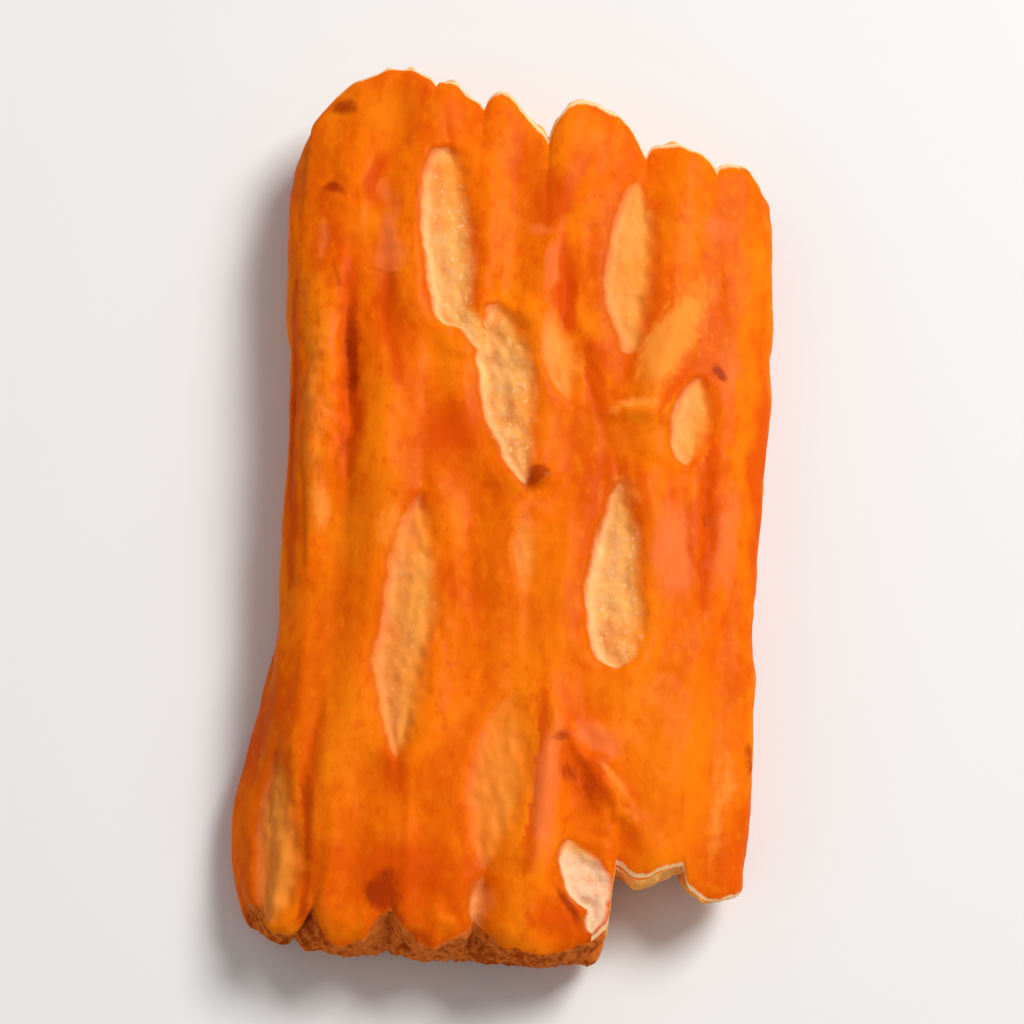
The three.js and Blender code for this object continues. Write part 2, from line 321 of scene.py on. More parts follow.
ROUGH = [
    (3.9, -10.7, 1.3, 1.6, 0, 1.0),
    (5.2, -13.1, 1.3, 1.2, 0, 0.8),
    (4.3, -16.9, 1.3, 2.0, 0, 1.0),
    (-9.0, 6.3, 0.7, 7.0, -0.06, 0.9),
    (-0.4, 5.5, 1.1, 3.5, -0.2, 0.7),
    (4.8, -4.2, 0.9, 2.2, 0, 0.5),
    (-4.3, -5.0, 0.9, 4.0, 0, 0.3),
    (0.9, 1.9, 0.9, 0.6, 0, 1.0),
    (-0.4, 9.2, 1.2, 1.8, 0, 0.8),
    (-3.0, -18.6, 7.0, 0.8, 0, 0.6),
    (-10.2, -15.2, 1.6, 3.6, 0, 1.0),
    (9.7, 4.5, 0.6, 4.0, 0, 0.4),
    (-8.6, 19.8, 1.6, 1.0, 0, 0.6),
    (-8.4, 14.5, 1.6, 2.6, 0, 0.6),
]
print(f"relief: {len(RIDGES)} ridges, {len(RIPPLES)} ripples, {len(ROUGH)} rough patches")

# %% [markdown]
# ## What the splits do to the skin
# Every split digs its own floor, raises a lip round it and leaves a thin crease past each tip. Its left
# side drops steeply and its right side gently, as the strands overlap like tiles. The grain is drawn
# aside by every split, as water is by a stone, so the fine lines use a sideways coordinate, the strand,
# from which each split's half width has been taken away.

# %% What the splits do to the skin
LIP_HIGH = 0.3
LIP_WIDE = 0.8
TAIL = 0.5
TAIL_DEEP = 0.22
TAIL_WIDE = 0.25
RAISED_FLOOR = 0.4
FAR_HALF_DARKER = 0.4
STRAND_RELAXES = 1.5
FAR_OFF = 3.0
Opened = namedtuple("Opened", "height dug inside pale side strand")
Relief = namedtuple("Relief", "height swelling inside pale side strand")


def off_line(across, along, split):
    """How far a place is to the right of a split's line, the short way round the girth."""
    apart = (across - split.across - split.lean * (along - split.along)) / GIRTH
    return (apart - np.round(apart)) * GIRTH


def wrinkles(strand, along, size, long, seed):
    """Fine sharp-crested folds along the grain: one minus the size of a random field, squared."""
    return (1 - np.abs(field(strand, along, size, long, seed))) ** 2


def split_open(height, across, along):
    """What the splits make of a skin: its height with their lips and tails, how deep they have dug it, how
    far inside the nearest split a place is, that split's paleness, the side of it, and the strand."""
    inside = np.full_like(across, -FAR_OFF)
    pale = np.zeros_like(across)
    side = np.zeros_like(across)
    strand = across.copy()
    dug = np.zeros_like(across)
    wobble = 0.2 * field(across, along, 1.9, 2.3, 11) + 0.1 * field(across, along, 0.5, 0.7, 12)
    wobble += 0.05 * field(across, along, 0.25, 0.35, 13)
    for split in SPLITS:
        t = (along - split.along) / split.half
        off = off_line(across, along, split)
        width = split.wide * np.clip(1 - t * t, 0, 1) ** split.blunt * (1 - split.skew * t)
        past_tip = np.maximum(np.abs(t) - 0.97, 0) * split.half
        within = width - np.abs(off + wobble) - past_tip
        fade = step(1.25 - np.abs(t), 0, 0.5)
        share = np.clip(within / (width + 0.01), 0, 1)
        gentle = 0.35 + 0.7 * step(off + wobble, -0.3, 0.6)
        floor = step(within, -0.15, gentle) - RAISED_FLOOR * step(share, 0.3, 1.0)
        dug = np.maximum(dug, split.deep * floor)
        height = height + LIP_HIGH * split.deep * swell(-within, LIP_WIDE, LIP_WIDE) * fade
        tail = step(1 + TAIL - np.abs(t), 0, TAIL) * step(np.abs(t), 0.75, 1.0)
        height -= TAIL_DEEP * split.deep * swell(off + wobble, 0, TAIL_WIDE) * tail
        nearest = within > inside
        pale = np.where(nearest, split.pale * (1 - FAR_HALF_DARKER * step(t, 0.3, 1.0)), pale)
        side = np.where(nearest, np.clip((off + wobble) / (width + 0.2), -1, 1), side)
        inside = np.maximum(inside, within)
        beyond = np.exp(-np.maximum(np.abs(off) - width, 0) / STRAND_RELAXES)
        strand -= np.where(np.abs(off) < width, off, np.sign(off) * width * beyond)
    return Opened(height, dug, inside, pale, side, strand)


print(f"a split that is 0.5 mm deep has a lip {0.5 * LIP_HIGH:.2f} mm high")

# %% [markdown]
# ## The whole relief
# The layers are added up here, from the broadest to the finest. The swelling is kept by itself, before
# the splits are dug and the finest grain is added, because the finish reads it to tell ridges from
# hollows.

# %% The whole relief
WRINKLE = 0.045
STRAND_LINE = 0.018
PUCKER = 0.06
PORES = 0.02
HOLES = 0.08


def broad_waves(across, along):
    """Three slow waves: two lengthwise ones that wander, and one that crosses them."""
    height = 0.13 * np.sin(1.15 * across + 0.9 * np.sin(0.21 * along + 1) + 0.6)
    height += 0.08 * np.sin(2.1 * across - 0.16 * along + 2)
    height += 0.12 * np.sin(0.33 * along + 0.4 * across) * np.cos(0.5 * across)
    return height


def relief(across, along):
    """The skin's height and its swelling, and what the splits make there."""
    opened = split_open(broad_waves(across, along), across, along)
    height = opened.height

    for x, y, half, wide, lean, high in RIDGES:
        height += high * swell(across - lean * (along - y), x, wide) * swell(along, y, half)

    for x, y, wide, long, pitch, high in RIPPLES:
        ripple = np.sin(2 * np.pi * along / pitch + field(across, along, 0.6, 1.1, 27))
        height += high * ripple * swell(across, x, wide) * swell(along, y, long)

    floor = step(opened.inside, 0.05, 0.4)
    unbroken = 1 - floor
    lumps = 0.16 * field(across, along, 0.8, 0.9, 28)
    lumps += 0.1 * field(across, along, 0.35, 0.4, 29)
    height += marks(ROUGH, across, along) * lumps
    height += unbroken * WRINKLE * (wrinkles(opened.strand, along, 1.1, 7.0, 21) - 0.4)
    height += unbroken * STRAND_LINE * field(opened.strand, along, 0.42, 3.0, 22)
    height += unbroken * PUCKER * field(across, along, 1.4, 1.9, 23)
    swelling = height.copy()
    height += PORES * field(across, along, 0.35, 0.5, 26)
    holes = field(across, along, 0.36, 0.62, 24) + 0.6 * field(across, along, 0.2, 0.3, 25)
    height += floor * HOLES * holes - opened.dug
    return Relief(height, swelling, opened.inside, opened.pale, opened.side, opened.strand)


at_middle = relief(np.zeros(1), np.zeros(1))
print(f"relief in the middle of the upper face: {at_middle.height[0]:.2f} mm")

# %% [markdown]
# ## The skin as one surface
# A place on the skin has two parameters: its distance round the section, and b, which runs from -1 at
# the near end to 1 at the far end. The inner half of the length is a plain slab. Beyond it the rows
# bend step by step into the line of the teeth. The slab thins towards its ends, where the dough was
# pinched by the cutter. The near end's lower edge lies in by UNDERCUT from its upper one, and the lower
# left side leans out by FLARE near that end, where the cracker is widest.

# %% The outline of the sides
LEFT_SIDE = 10.1
FAR_FULLNESS = 0.7
WAIST = 0.4
RIGHT_SIDE = 10.9
RIGHT_FULLNESS = 0.25
FLARE = 2.6
FLARE_AT = -13
FLARE_SPREAD = 6.5
ABOVE_FLARE = 0.8


def left_reach(y):
    """How far the left side stands out: fuller at the far end, and drawn in along its near half."""
    reach = LEFT_SIDE + FAR_FULLNESS * swell(y, 14, 8)
    reach -= WAIST * swell(y, -3.5, 4.5)
    return reach - ABOVE_FLARE * swell(y, FLARE_AT, FLARE_SPREAD)


def right_reach(y):
    """How far the right side stands out: almost straight."""
    return RIGHT_SIDE + RIGHT_FULLNESS * swell(y, 8, 9)


print(f"the middle is {left_reach(0) + right_reach(0):.2f} mm wide")

# %% The skin as one surface
HALF_LENGTH = 0.427 * LENGTH
END_THINNING = 0.27
THINNING_REACH = 4.2
CROWNED = 0.08
RIGHT_THINNER = 0.05
UNDERCUT = 0.9
EDGE_ROUND = 0.2
EDGE_REACH = 0.22
Skin = namedtuple("Skin", "x y z relief to_edge place out_x out_z")


def grain_shift(around, along):
    """How far the grain is drawn sideways by the slant of the splits near a place."""
    shift = np.zeros_like(around)
    for s in UPPER_SPLITS:
        felt = swell(around, s.across, 2) * swell(along, s.along, 1.1 * s.half)
        shift += s.lean * (along - s.along) * felt
    return shift


def skin_at(around, b):
    """The skin's points: the section, widened to the sides' line, bent to the teeth, and raised by the
    relief. Outwards, on a superellipse, is the way of its coordinates raised to the exponent less one."""
    share = section_at(around)[0] / HALF_WIDTH
    far_x, far_y = end_at(FAR_END, (share + 1) / 2)
    near_x, near_y = end_at(NEAR_END, (share + 1) / 2)
    edge_x = np.where(b > 0, far_x, near_x)
    edge_y = np.where(b > 0, far_y, near_y)
    outer = np.clip(2 * np.abs(b) - 1, 0, 1)
    bend = np.sign(b) * 0.5 * HALF_LENGTH
    y = np.where(np.abs(b) < 0.5, b * HALF_LENGTH, bend + (edge_y - bend) * outer)
    to_edge = np.abs(edge_y - y)

    side = (around + GIRTH / 2) % GIRTH - GIRTH / 2
    drawn = around + grain_shift(side, y)
    flat_x, flat_z = section_at(drawn)
    blend = outer * outer * (3 - 2 * outer)
    placed = flat_x / HALF_WIDTH * (1 - blend) + edge_x / HALF_WIDTH * blend
    x = placed * np.where(placed < 0, left_reach(y), right_reach(y))
    thin = 1 - END_THINNING * np.exp(-to_edge / THINNING_REACH)
    z = flat_z * thin * (1 + CROWNED * swell(x, -1, 7) - RIGHT_THINNER * step(placed, 0.4, 1))
    y = y + UNDERCUT * np.where(b < 0, outer**2, 0) * step(-z, -0.5 * CROWN, BELLY)
    flare = FLARE * step(-placed, 0.6, 1) * swell(y, FLARE_AT, FLARE_SPREAD)
    x = x - flare * step(-z, -CROWN, 0.6 * BELLY)

    depth = np.where(flat_z > 0, CROWN, BELLY)
    out_x = np.sign(flat_x) * np.abs(flat_x / HALF_WIDTH) ** (SQUARENESS - 1) / HALF_WIDTH
    out_z = np.sign(flat_z) * np.abs(flat_z / depth) ** (SQUARENESS - 1) / depth
    steep = np.hypot(out_x, out_z)
    out_x /= steep
    out_z /= steep
    place = drawn + (x - flat_x) * np.where(flat_z > 0, 1, -1)
    made = relief(place, y)
    raised = made.height - EDGE_ROUND * np.exp(-to_edge / EDGE_REACH)
    return Skin(x + out_x * raised, y, z + out_z * raised, made, to_edge, place, out_x, out_z)


# %% [markdown]
# ## The mesh
# The skin is a tube of rings, and each cut end closes it with a small grid whose outer points are the
# ring's own, so the whole cracker is one closed shell with no seam.

# %% The grid of the skin
COLUMNS = 140
LAYERS = 28
ROWS = 232
RING = 2 * (COLUMNS + LAYERS)
FACE = GIRTH * COLUMNS / RING

ring_around = -FACE / 2 + GIRTH * np.arange(RING) / RING
row_share = np.linspace(-1, 1, ROWS + 1)
row_b = row_share + 0.03 * np.sin(np.pi * row_share)
around_grid, b_grid = np.meshgrid(ring_around, row_b)
skin = skin_at(around_grid, b_grid)
print(f"skin: {skin.x.size} points, one every {GIRTH / RING:.2f} mm round the section")

# %% [markdown]
# ## The faces of the cut ends
# A cut end's face runs straight down from the upper edge to the lower one. It is crumbly, and its dough
# stands a little proud of the skin. At the near end the dough has also swelled between the teeth, so
# that from above it shows in the notches: it fills the share FILLED of the way out to NEAR_FOOT, and no
# more than FILLED_MOST of that way counts. The broken corner has none of it.

# %% The faces of the cut ends
FAR_PROUD = 0.12
NEAR_PROUD = 0.3
CRUMB = 0.2
RIM = 0.14
NEAR_FOOT = 19.8
FILLED = 0.85
FILLED_MOST = 1.7


def cap_ring():
    """For each crossing of a cut end's grid, the ring's point that it is, or -1 where it lies inside."""
    index = np.full((COLUMNS + 1, LAYERS + 1), -1)
    i = np.arange(COLUMNS + 1)
    k = np.arange(LAYERS + 1)
    index[i, LAYERS] = i
    index[COLUMNS, k] = COLUMNS + LAYERS - k
    index[i, 0] = 2 * COLUMNS + LAYERS - i
    index[0, k] = (2 * COLUMNS + LAYERS + k) % RING
    return index


cap_index = cap_ring()


def cap_at(row, b, proud, foot):
    """A cut end's points: straight between the upper and lower edges, bulging with the sides, crumbly, and
    filled out towards the foot between the teeth."""
    ring = np.stack([skin.x[row], skin.y[row], skin.z[row]], -1)
    v = np.linspace(0, 1, LAYERS + 1)[None, :, None]
    u = np.linspace(-1, 1, COLUMNS + 1)[:, None, None]
    low = ring[cap_index[:, 0]][:, None, :]
    high = ring[cap_index[:, LAYERS]][:, None, :]
    points = low * (1 - v) + high * v
    for column, sign in ((0, -1), (COLUMNS, 1)):
        straight = points[column].copy()
        points = points + (ring[cap_index[column]] - straight)[None] * np.clip(u * sign, 0, 1) ** 4
    inset = np.minimum(1 - np.abs(2 * v[..., 0] - 1), 1 - np.abs(u[..., 0]))
    rim = step(inset, 0, RIM)
    x, y, z = np.moveaxis(points, -1, 0)
    rough = field(x - y, z + 0.4 * x, 0.7, 0.6, 31)
    rough += 0.7 * field(x + 0.8 * y, z - 0.3 * x, 0.3, 0.3, 32)
    short = foot - UNDERCUT * (1 - v[..., 0]) - b * y
    filled = FILLED * np.clip(short, 0, FILLED_MOST) * step(1 - v[..., 0], 0, 0.6)
    filled *= step(x, BREAK_SIDE, BREAK_SIDE - 0.5)
    points[..., 1] += b * rim * (proud + CRUMB * rough + filled)
    return points


far_cap = cap_at(-1, 1, FAR_PROUD, 0)
near_cap = cap_at(0, -1, NEAR_PROUD, NEAR_FOOT)
print(f"cut ends: {cap_index.size} points each")

# %% [markdown]
# ## From arrays to a mesh
# The rows of rings become one list of points, followed by the inner points of the two cut ends. Four
# arrays of corner numbers give every quad at once. The underside is pressed flat where the cracker lay
# to bake, and the finished points are then fitted to the frame's box.

# %% The corners of the faces
inner = cap_index < 0
ring_points = skin.x.size
cap_inner = int(inner.sum())
row_start = {"near": 0, "far": ROWS * RING}
inner_start = {"near": ring_points, "far": ring_points + cap_inner}


def cap_numbers(end):
    """The number of each point of a cut end's grid in the list of all points."""
    numbers = cap_index + row_start[end]
    numbers[inner] = inner_start[end] + np.arange(cap_inner)
    return numbers


def quads(numbers):
    """The four corners of every cell of a grid of point numbers."""
    corners = [numbers[:-1, :-1], numbers[1:, :-1], numbers[1:, 1:], numbers[:-1, 1:]]
    return np.stack(corners, -1).reshape(-1, 4)


tube = np.arange(ring_points).reshape(ROWS + 1, RING)
tube = np.concatenate([tube, tube[:, :1]], axis=1)
near_faces = quads(cap_numbers("near"))
far_faces = quads(cap_numbers("far"))[:, ::-1]
faces = np.concatenate([quads(tube)[:, ::-1], near_faces, far_faces])
print(f"faces: {len(faces)} quads")

# %% The finished mesh
points = np.stack([skin.x, skin.y, skin.z], -1).reshape(-1, 3)
points = np.concatenate([points, near_cap[inner], far_cap[inner]])
points[:, 2] = np.maximum(points[:, 2], -PRESSED_FLAT)
lowest = points.min(0)
spread = points.max(0) - lowest
fit = np.array((WIDTH, LENGTH, THICKNESS)) / spread
points = (points - lowest) * fit + np.array(LOW) / MM
print("fitted to the frame by", np.round(fit, 3))

mesh = bpy.data.meshes.new("glazed_skin")
mesh.from_pydata(points * MM, [], faces.tolist())
mesh.polygons.foreach_set("use_smooth", np.ones(len(mesh.polygons), bool))
mesh.validate()
cracker = bpy.data.objects.new("glazed_cracker", mesh)
bpy.context.collection.objects.link(cracker)
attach(cracker, "root")
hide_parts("cracker")
print(f"mesh: {len(points)} points, {2 * len(faces)} triangles")

# %% [markdown]
# ## Marks that the bake and the glaze left, and painted light and shade
# The colour of the skin isn't even. Small raised places toasted to red-brown, and the glaze ran golden in
# one part. Other marks are painted light and shade: a salmon-pink painted sheen on some strands, and
# painted shade in some creases and hollows. A noise pattern would put such marks anywhere, so each is a
# hump at a place of its own: its place across and along, its half width and half length, its lean and
# its strength.

# %% Toasted spots, and painted shade in creases
TOASTED_AND_CREASE_SHADE = [
    (1.0, 2.1, 0.85, 0.6, 0.3, 1.1),
    (-8.9, 19.9, 0.8, 0.7, 0, 0.9),
    (-4.7, -17.3, 1.1, 0.9, 0, 1.1),
    (-9.1, 15.5, 0.9, 0.45, 0, 0.9),
    (4.4, 17.4, 0.5, 0.6, 0, 0.5),
    (9.5, 17.4, 0.7, 0.5, 0, 0.4),
    (9.1, 8.1, 0.4, 0.6, 0, 1.0),
    # The next four run along the creases of the left side: partly toasting, and partly painted shade in
    # those creases.
    (-7.7, 7.4, 0.5, 2.8, -0.04, 0.95),
    (-7.9, 2.8, 0.35, 1.2, 0, 0.6),
    (-8.5, 11.0, 0.3, 1.6, 0, 0.6),
    (-10.2, 5.0, 0.3, 6.5, -0.03, 0.55),
    (-9.9, -9.2, 0.5, 1.8, 0.1, 0.75),
    (2.5, -9.9, 0.6, 0.45, 0, 0.8),
    (2.9, -11.5, 0.5, 0.7, 0, 0.65),
    (3.8, -12.2, 0.7, 1.2, -0.6, 0.6),
    (5.3, -12.4, 0.4, 1.4, -0.6, 0.5),
    (3.4, -17.3, 0.4, 1.3, -0.7, 0.85),
    (4.8, -18.5, 0.8, 0.8, 0, 0.6),
    (-1.0, -14.7, 0.4, 0.4, 0, 0.45),
    (-8.2, -18.5, 0.9, 0.5, 0, 0.6),
    (11.1, -9.8, 0.5, 1.2, 0, 0.65),
    (8.8, 0.9, 0.3, 0.5, 0, 0.7),
    (-6.5, 11.4, 0.9, 0.25, 0, 0.6),
]
print(f"toasted: {len(TOASTED_AND_CREASE_SHADE)} spots")

# %% Painted sheen, and light strands
PINK_SHEEN_MARKS = [
    (7.1, -0.8, 1.1, 2.4, -0.1, 1.1),
    (9.7, 0.3, 0.7, 3.4, 0, 0.8),
    (9.5, 8.2, 0.6, 2.2, 0, 0.55),
    (8.6, 15.2, 1.4, 1.2, 0, 0.55),
    (-6.4, 13.1, 0.8, 2.4, 0, 0.8),
    (-6.6, 15.6, 0.5, 1.2, 0, 0.6),
    (-9.4, 13.0, 0.5, 1.6, 0, 0.6),
    (0.5, 14.4, 0.9, 0.4, 0, 0.6),
    (1.2, 12.4, 0.45, 1.8, 0, 0.85),
    (2.1, -12.3, 0.65, 3.8, 0.03, 0.95),
    (4.1, -9.7, 1.0, 0.8, -0.5, 1.0),
    (-0.4, -17.5, 0.4, 0.9, 0, 0.6),
    (-8.7, 8.6, 0.3, 1.2, 0, 0.6),
]
LIGHT_STRANDS = [
    (6.9, 9.3, 1.2, 2.9, 0.32, 1.05),
    (-9.0, 5.0, 0.6, 7.0, -0.06, 0.45),
    (-8.8, 0.6, 0.5, 1.8, -0.06, 0.7),
    (1.8, 8.2, 0.8, 1.8, -0.25, 0.6),
    (5.1, 5.7, 1.6, 0.35, 0, 0.6),
    (4.8, -11.6, 0.5, 0.6, -0.7, 0.6),
    (9.9, -11.8, 0.6, 3.5, 0, 0.6),
    (0.5, -1.6, 0.6, 2.0, 0, 0.5),
    (-5.6, -0.6, 0.9, 1.8, 0, 0.5),
    (4.8, 1.4, 0.8, 1.4, 0, 0.55),
]
print(f"stretched: {len(PINK_SHEEN_MARKS)} salmon strands and {len(LIGHT_STRANDS)} light ones")

# %% Thin and thick glaze, and painted shade
GOLDEN = [
    (8.3, -11.0, 2.4, 4.5, 0, 0.6),
    (4.9, -7.4, 2.6, 1.4, 0, 0.5),
    (1.1, -2.5, 1.6, 2.5, 0, 0.6),
    (1.8, -5.6, 1.5, 1.5, 0, 0.6),
    (4.6, 4.4, 1.4, 0.9, 0, 0.4),
    (-7.5, -8.0, 1.2, 3.0, 0, 0.5),
    (-7.6, 14.0, 0.7, 1.0, 0, 0.7),
    (10.2, 10.0, 0.6, 6.0, 0, 0.6),
    (-3.2, 7.4, 1.2, 1.0, 0, 0.7),
    (-9.6, -17.2, 0.9, 1.4, 0, 0.8),
    (-6.8, 19.8, 1.4, 1.4, 0, 0.9),
    (2.2, 19.2, 1.3, 1.2, 0, 0.6),
    (1.2, 5.0, 0.5, 1.8, 0, 0.8),
    (-7.4, -0.8, 0.8, 2.0, 0, 0.8),
]
DEEP_GLAZE_AND_SHADE = [
    # Painted shade in the hollow below the notch between the third and fourth teeth of the far end.
    (0.9, 15.7, 1.3, 1.5, 0.2, 1.0),
    (-7.2, 16.2, 0.6, 1.6, 0, 1.0),
    (-8.3, 12.4, 0.5, 1.6, 0, 0.8),
    (1.9, 10.8, 0.5, 1.8, -0.1, 1.0),
    (3.3, 8.0, 0.9, 1.3, -0.3, 0.7),
    (-3.3, 4.0, 1.9, 1.7, 0, 0.9),
    (-9.3, 15.3, 1.1, 0.8, 0, 0.7),
    (-10.8, 14.5, 0.6, 3.2, 0, 0.8),
    (-6.0, 10.4, 0.8, 1.2, 0, 0.8),
    (-4.8, 6.4, 1.6, 1.4, 0, 0.6),
    (-2.8, -2.6, 1.0, 2.0, 0, 0.6),
    (-4.7, -12.2, 1.1, 1.6, 0, 0.8),
    (-4.7, -17.2, 2.0, 1.4, 0, 0.7),
    (-4.0, -16.7, 5.5, 2.4, 0, 0.8),
    (3.0, -18.0, 2.0, 1.3, 0, 0.8),
    (3.6, -11.6, 1.8, 2.2, -0.3, 0.85),
    (9.7, 6.8, 0.6, 0.5, 0, 0.8),
    (9.6, 3.4, 0.5, 0.7, 0, 0.7),
    (-9.9, -6.5, 0.7, 2.6, 0, 0.6),
    # Painted shade along the steep right side, which is turned away from the camera.
    (11.2, 3.0, 0.7, 8.0, 0, 0.9),
]
print(f"glaze: {len(GOLDEN)} golden places and {len(DEEP_GLAZE_AND_SHADE)} deep ones")

# %% [markdown]
# ## What the points carry
# The mesh's points carry numbers for the finish to read: the marks, the swelling of the skin, how far
# inside a split a place is, how pale that split is, and which side of it the place is on. The cut ends
# carry a one under "cut", and under "deep" how brown their crust is: the near end was baked brown, and
# its brown is partly painted shade of that face, but the broken corner's face is fresh.

# %% What the points carry
CRUST_FADES = 0.6


def store(name, on_skin, on_near, on_far):
    """Puts one number on every point of the mesh: the skin's, then those of the near and far cut ends."""
    ends = [np.broadcast_to(value, cap_inner) for value in (on_near, on_far)]
    values = np.concatenate([on_skin.ravel(), *ends]).astype(np.float32)
    mesh.attributes.new(name, "FLOAT", "POINT").data.foreach_set("value", values)
    print(f"{name}: {values.min():.2f} to {values.max():.2f}")


# The near end's crust: baked brown, and partly painted shade of that face.
brown_and_shaded_crust = step(near_cap[inner][:, 0], BREAK_SIDE, BREAK_SIDE - CRUST_FADES)
store("inside", skin.relief.inside, -FAR_OFF, -FAR_OFF)
store("pale", skin.relief.pale, 0, 0)
store("side", skin.relief.side, 0, 0)
store("swelling", skin.relief.swelling, 0, 0)
store("toasted_and_crease_shade", marks(TOASTED_AND_CREASE_SHADE, skin.place, skin.y), 0.35, 0)
store("pink_sheen", marks(PINK_SHEEN_MARKS, skin.place, skin.y), 0, 0)
store("light", marks(LIGHT_STRANDS, skin.place, skin.y), 0, 0)
store("golden", marks(GOLDEN, skin.place, skin.y), 0, 0)
store("deep", marks(DEEP_GLAZE_AND_SHADE, skin.place, skin.y), brown_and_shaded_crust, 0)
store("cut", np.zeros_like(skin.x), 1, 1)

# %% [markdown]
# ## The cream line and the grain
# Where the skin ends at the far end and at the broken corner, a cream line of bare dough shows. The
# points carry their distance from such an edge, made longer where the line is thinner. They also carry
# a place in millimetres that follows the grain: it is the point's own place, moved sideways along the
# skin by as much as the splits have drawn the strands aside.

# %% The cream line and the grain
THINNER = 1.5
BREAK_LINE_FROM = BREAK_SIDE - 0.9
NOT_NEAR = 9
FARTHEST = 3
at_far = np.where(b_grid > 0, skin.to_edge * (1 + THINNER * step(skin.x, -1, -5)), NOT_NEAR)
at_break = np.where((b_grid < 0) & (skin.x > BREAK_LINE_FROM), THINNER * skin.to_edge, NOT_NEAR)
store("from_cut", np.minimum(np.minimum(at_far, at_break), FARTHEST), FARTHEST, 0)

aside = skin.place - skin.relief.strand
grain = np.stack([skin.x - aside * skin.out_z, skin.y, skin.z + aside * skin.out_x], -1).reshape(-1, 3)
grain = np.concatenate([grain, near_cap[inner], far_cap[inner]]).astype(np.float32)
mesh.attributes.new("grain", "FLOAT_VECTOR", "POINT").data.foreach_set("vector", grain.ravel())
print(f"grain: drawn up to {np.abs(aside).max():.1f} mm aside")

# %% [markdown]
# ## A way to write shader sums
# A finish is a set of nodes. Written one by one they hide the idea, so a small class lets plain sums
# stand for Math nodes, and one method makes every other kind of node.

# %% A way to write shader sums


class Wire:
    """A socket of the finish's nodes. Sums of wires and numbers add their Math nodes."""

    tree = None

    def __init__(self, socket):
        self.socket = socket

    @classmethod
    def node(cls, kind, settings=None, values=None, output=0):
        """Adds a node: its settings first, then its sockets' values or wires. Gives one of its outputs."""
        made = cls.tree.nodes.new(kind)
        for name, value in (settings or {}).items():
            setattr(made, name, value)
        for name, value in (values or {}).items():
            if isinstance(value, Wire):
                cls.tree.links.new(value.socket, made.inputs[name])
            else:
                made.inputs[name].default_value = value
        return cls(made.outputs[output])

    def sum_node(self, operation, first, second):
        """One Math node on two values or wires."""
        return self.node("ShaderNodeMath", {"operation": operation}, {0: first, 1: second})

    def __add__(self, other):
        return self.sum_node("ADD", self, other)

    def __sub__(self, other):
        return self.sum_node("SUBTRACT", self, other)

    def __rsub__(self, other):
        return self.sum_node("SUBTRACT", other, self)

    def __mul__(self, other):
        return self.sum_node("MULTIPLY", self, other)

    __radd__ = __add__
    __rmul__ = __mul__


def stored(name, output=2):
    """What the mesh's points carry under a name: its output 2 is a number, and its output 1 a vector."""
    return Wire.node("ShaderNodeAttribute", {"attribute_name": name}, output=output)


def ease(value, start, end):
    """A smooth step from nothing at start to one at end."""
    limits = {"Value": value, "From Min": start, "From Max": end}
    return Wire.node("ShaderNodeMapRange", {"interpolation_type": "SMOOTHSTEP"}, limits)


def blend(amount, first, second):
    """The first colour turning into the second as the amount goes from nothing to one."""
    return Wire.node("ShaderNodeMix", {"data_type": "RGBA"}, {0: amount, 6: first, 7: second}, 2)


def mottle(vector, size, long, detail=2.0):
    """A random pattern of about the given size, drawn out so many times along the cracker, from 0 to 1."""
    scale = (1 / size, 1 / size / long, 1 / size)
    spread = Wire.node("ShaderNodeVectorMath", {"operation": "MULTIPLY"}, {0: vector, 1: scale})
    return Wire.node("ShaderNodeTexNoise", None, {"Vector": spread, "Scale": 1.0, "Detail": detail})


def colour(red, green, blue):
    """A colour for the shader from screen values of 0 to 255: each is raised to linear light."""
    parts = [c / 255 for c in (red, green, blue)]
    linear = [c / 12.92 if c <= 0.04045 else ((c + 0.055) / 1.055) ** 2.4 for c in parts]
    return (*linear, 1.0)


print("middle grey in linear light:", [round(c, 3) for c in colour(128, 128, 128)])

# %% [markdown]
# ## The finish
# The skin is orange under a thin glaze, with painted shade making it redder in its hollows and painted
# light making it yellower on its ridges, and with fine streaks along the grain and small blisters between
# them. An image could show all this, but noise patterns have no seam and stay sharp however close one
# looks. Some follow the grain that the points carry, in millimetres. The others read the piece's own
# coordinates, in metres.
# Both stay on the piece when it moves.

# %% The patterns
finish = bpy.data.materials.new("glazed_dough")
finish.use_nodes = True
Wire.tree = finish.node_tree
Wire.tree.nodes.clear()

grain_line = stored("grain", 1)
object_place = Wire.node("ShaderNodeTexCoord", output=3)
broad = mottle(grain_line, 3.0, 2.0)
streaks = mottle(grain_line, 0.6, 5.0, 2.0)
grit = mottle(grain_line, 0.3, 1.4, 2.0)
patches = mottle(object_place, 3.4 * MM, 1.8, 3.0)
blisters = mottle(object_place, 0.45 * MM, 1.5, 2.0)
speckle = mottle(object_place, 0.25 * MM, 1.3, 2.0)
print(f"patterns: {len(Wire.tree.nodes)} nodes")

# %% The colours of the skin
ORANGE = colour(230, 98, 2)
BRIGHT_ORANGE = colour(245, 114, 2)
YELLOW_ORANGE = colour(247, 132, 12)
RED_ORANGE = colour(218, 74, 2)
SHEEN_PINK = colour(244, 118, 52)
LIGHT_PEACH = colour(250, 148, 54)
RED_BROWN = colour(160, 46, 2)

swelling = stored("swelling")

